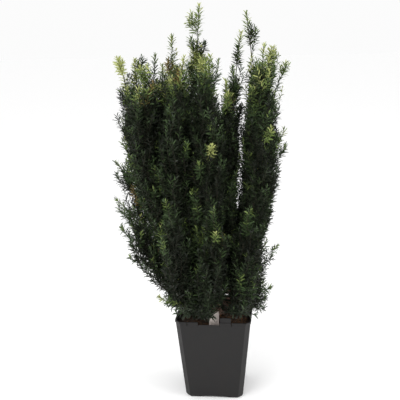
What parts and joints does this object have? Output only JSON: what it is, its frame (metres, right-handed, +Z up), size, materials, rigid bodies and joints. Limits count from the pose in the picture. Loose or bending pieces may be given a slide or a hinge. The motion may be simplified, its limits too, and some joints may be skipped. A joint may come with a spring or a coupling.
{
  "type": "potted yew",
  "caption": "Column-shaped young yew with dark green needles, many upright leaders and a short flared stem, in a deep square black nursery pot with a blank plant label.",
  "frame": {"origin": "centre of the pot's flat underside", "axes": "+Z up along the pot and the crown, -Y towards the viewer of the picture, +X to the viewer's right"},
  "size_m": [0.4882, 0.4044, 1.1],
  "materials": {
    "pot": "moulded, matt, scuffed",
    "soil": "crumbly, damp",
    "label": "plain card, blank",
    "bark": "thin scaly bark",
    "needles": "dark glossy needles, lighter tips"
  },
  "bodies": {
    "root": {"pot": "pot", "root_ball": "soil", "plant_label": "label", "stem": "bark", "bough_centre_tall": "bark", "bough_centre_front": "bark", "bough_centre_right": "bark", "bough_slot_side": "bark", "bough_centre_back": "bark", "bough_back_right": "bark", "bough_left_tall": "bark", "bough_left_front": "bark", "bough_left_inner": "bark", "bough_left_back": "bark", "bough_left_fore": "bark", "bough_left_outer": "bark", "bough_left_edge": "bark", "bough_back_left": "bark", "bough_right_front": "bark", "bough_right_tall": "bark", "bough_right_edge": "bark", "bough_right_back": "bark", "bough_low_left": "bark", "bough_low_left_fore": "bark", "bough_low_left_skirt": "bark", "bough_low_front_left": "bark", "bough_low_front": "bark", "bough_low_front_right": "bark", "bough_low_right": "bark", "bough_low_right_back": "bark", "bough_low_back": "bark", "bough_low_back_left": "bark", "foliage_centre_tall": "needles", "foliage_centre_front": "needles", "foliage_centre_right": "needles", "foliage_slot_side": "needles", "foliage_centre_back": "needles", "foliage_back_right": "needles", "foliage_left_tall": "needles", "foliage_left_front": "needles", "foliage_left_inner": "needles", "foliage_left_back": "needles", "foliage_left_fore": "needles", "foliage_left_outer": "needles", "foliage_left_edge": "needles", "foliage_back_left": "needles", "foliage_right_front": "needles", "foliage_right_tall": "needles", "foliage_right_edge": "needles", "foliage_right_back": "needles", "foliage_low_left": "needles", "foliage_low_left_fore": "needles", "foliage_low_left_skirt": "needles", "foliage_low_front_left": "needles", "foliage_low_front": "needles", "foliage_low_front_right": "needles", "foliage_low_right": "needles", "foliage_low_right_back": "needles", "foliage_low_back": "needles", "foliage_low_back_left": "needles"}
  },
  "joints": []
}
